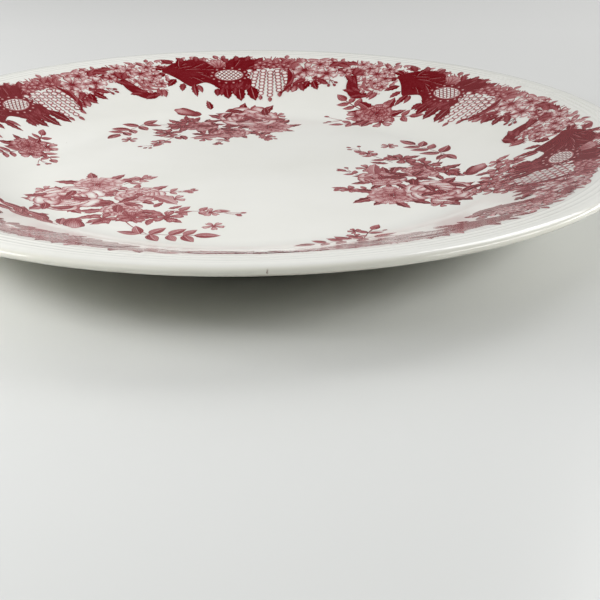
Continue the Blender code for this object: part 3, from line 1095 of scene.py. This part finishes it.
def spray_drawing(seed):
    """A ruffled flower and two small ones among leafy sprigs."""
    art = Drawing(seed)
    art.sprig(4 + 1j, 0.2, 12, 3, 6.0, 0.2, 0.50, 0.80)
    art.sprig(-4 + 0j, 3.0, 9, 2, 5.6, -0.2, 0.50, 0.80)
    art.sprig(1 - 4j, -1.1, 9, 2, 5.6, 0.3, 0.46, 0.76)
    art.foliage(0j, 2.5, 9, 8.5, 0.0, 0.64, 0.94)
    art.blossom(-5 - 4j, 4.6, 0.9, 0.8, 0.25)
    art.blossom(6 - 3j, 4.4, 0.1, 0.8, 0.22)
    art.carnation(0 + 1j, 6.4, 0.3, 0.30)
    art.berries(9 - 8j, -0.7, 6, 3, 0.7, 0.55)
    return art


def leaf_spray_drawing(seed):
    """Two sprigs and loose pointed leaves with small flowers."""
    art = Drawing(seed)
    art.sprig(12 + 7j, 3.30, 20, 3, 7.6, -0.08, 0.50, 0.84)
    art.sprig(9 + 6j, -1.05, 11, 1, 6.4, 0.3, 0.46, 0.80)
    art.leaf(5 + 5j, -2.2, 7.4, 3.6, 0.2, 0.50, 0.84)
    art.leaf(12 + 7j, -0.1, 8.4, 3.9, 0.2, 0.50, 0.84)
    art.leaf(12 + 7j, 0.8, 7.8, 3.8, 0.2, 0.50, 0.84)
    art.blossom(8 + 2j, 3.6, 0.3, 0.85, 0.34)
    art.blossom(10 - 4j, 2.8, 0.9, 0.85, 0.40)
    art.berries(14 - 1j, -0.5, 5, 2, 0.7, 0.55)
    return art


# ---- putting the object together

def attach(piece, node):
    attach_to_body(piece, "root")
    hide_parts(node)


def build_object():
    glaze = glaze_material("clear_glaze", GLAZE_LIGHT, GLAZE_DEEP)
    cream = glaze_material("back_glaze", CREAM_LIGHT, CREAM_DEEP)
    ink = print_material()
    foot = foot_material()
    clay = biscuit_material()
    attach(make_glazed_face(glaze), "glaze_coat")
    attach(make_glazed_back(cream), "glaze_coat")
    attach(make_glazed_base(cream), "glaze_base")
    attach(make_foot(foot), "foot_ring")
    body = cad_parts["biscuit_body"]
    body.data.materials.clear()
    body.data.materials.append(clay)
    full, sheen_painted_border = border_drawing(FULL_BARE), border_drawing(SHEEN_PAINTED_BARE)
    for repeat in range(REPEATS):
        # the near repeats take the barer drawing, a painted sheen
        border = sheen_painted_border if repeat in SHEEN_PAINTED_REPEATS else full
        piece = lay_print(f"printed_border_{repeat + 1}", border, border_place(repeat), ink)
        attach(piece, "border_print")
    left = with_outer_sprig(bouquet_drawing(3, 0.79, 0.0))
    right = with_outer_cluster(bouquet_drawing(5, 1.0, 0.04))
    wells = (       # with each one's place: radius in mm, degrees and enlargement
        ("printed_bouquet_left", "bouquet_print_left", left, 75, -149, 1.0),
        ("printed_bouquet_right", "bouquet_print_right", right, 79, -17, 1.0),
        ("printed_bouquet_back", "bouquet_print_back", bouquet_drawing(8, 1.0, 0.08), 82, 95, 0.95),
        ("printed_spray_front", "spray_print_front", leaf_spray_drawing(2), 87, -68, 1.05),
        ("printed_spray_back", "spray_print_back", spray_drawing(4), 99, 55, 1.3),
        ("printed_spray_left", "spray_print_left", spray_drawing(6), 98, 164, 1.15),
    )
    for name, node, drawing, radius, degrees, size in wells:
        piece = lay_print(name, drawing, well_place(radius, degrees, size), ink)
        attach(piece, node)


# ---- stage, lights and camera

TABLE_HALF = 4.0
TABLE_DROP = 0.0001        # keeps the table just clear of the foot
ROOM_LIGHT = 0.01
FAR_PAINTED_LIGHT_START = 0.02      # where the painted light starts, in metres behind the platter's middle
FAR_PAINTED_LIGHT_RATE = 3.0        # share of the painted light gained in each metre from there


def floor_material():
    """Plain pale table top with painted light: its colour is lighter behind the platter than in front of it.
    """
    material, tree, shader, where = new_material("table_top")
    near = ramp(tree, noise(tree, where, 3.0, 2.0), (0.3, (0.70, 0.71, 0.695)), (0.7, (0.73, 0.74, 0.725)))
    # painted light: the lighter table colour behind the platter stands in for light the lamps don't bring
    # there
    far = ramp(tree, noise(tree, where, 2.0, 2.0), (0.3, (0.86, 0.865, 0.85)), (0.7, (0.88, 0.885, 0.87)))
    behind = one_axis(tree, where, "Y")
    share = times(tree, less(tree, behind, FAR_PAINTED_LIGHT_START), FAR_PAINTED_LIGHT_RATE)
    share = math_node(tree, "MINIMUM", at_least_0(tree, share), 1.0)
    coloured(tree, shader, mix_colour(tree, share, near, far), 0.26)
    return material


def build_stage():
    mesh = bpy.data.meshes.new("table_top")
    signs = ((-1, -1), (1, -1), (1, 1), (-1, 1))
    mesh.from_pydata([(TABLE_HALF * x, TABLE_HALF * y, 0) for x, y in signs], [], [(0, 1, 2, 3)])
    mesh.materials.append(floor_material())
    table = put_in_scene("table_top", mesh)
    table.location.z = -TABLE_DROP


def area_light(name, place, target, size, power):
    data = bpy.data.lights.new(name, "AREA")
    data.shape = "RECTANGLE"
    data.size, data.size_y = size
    data.energy = power
    lamp = put_in_scene(name, data)
    lamp.location = place
    aim = put_in_scene(name + "_aim", None)
    aim.location = target
    track = lamp.constraints.new("TRACK_TO")
    track.target = aim
    track.track_axis = "TRACK_NEGATIVE_Z"
    track.up_axis = "UP_Y"


def around(azimuth, elevation, distance=1.4):
    """A place in the room, in degrees and metres from the platter's middle."""
    azimuth, elevation = math.radians(azimuth), math.radians(elevation)
    flat = distance * math.cos(elevation)
    return flat * math.cos(azimuth), flat * math.sin(azimuth), distance * math.sin(elevation)


def build_lights():
    middle = (0.0, 0.0, 0.02)
    area_light("left_window", around(158, 27, 0.85), middle, (0.75, 0.3), 3.8)
    area_light("left_front", around(200, 27, 0.5), middle, (0.30, 0.08), 1.8)
    area_light("left_lamp", (-0.40, -0.52, 0.60), (-0.14, -0.24, 0), (0.35, 0.35), 0.9)
    area_light("right_window", around(27, 21), middle, (1.3, 0.4), 10.9)
    area_light("right_front", around(-24, 27, 0.75), middle, (0.46, 0.14), 2.4)
    area_light("right_lamp", (0.69, 0.80, 1.05), (0.09, -0.12, 0.03), (0.62, 0.56), 4.8)
    area_light("back_wall", (0.0, 1.7, 0.62), middle, (3.4, 1.36), 3.0)
    world = bpy.data.worlds.new("room")
    world.use_nodes = True
    background = world.node_tree.nodes["Background"]
    background.inputs[0].default_value = (1.0, 1.0, 0.97, 1)
    background.inputs[1].default_value = ROOM_LIGHT
    bpy.context.scene.world = world


CAMERA_PLACE = (0.0214, -0.4772, HEIGHT + 0.1273)
CAMERA_PITCH = 23.1        # degrees below the horizon
CAMERA_LENS = 72.6         # mm


def build_camera():
    data = bpy.data.cameras.new("camera")
    data.lens = CAMERA_LENS
    data.clip_start = 0.01
    camera = put_in_scene("camera", data)
    camera.location = CAMERA_PLACE
    camera.rotation_euler = (math.radians(90 - CAMERA_PITCH), 0, 0)
    bpy.context.scene.camera = camera


def main():
    build_object()
    build_stage()
    build_lights()
    build_camera()
    bpy.context.scene.view_settings.view_transform = "Standard"


main()
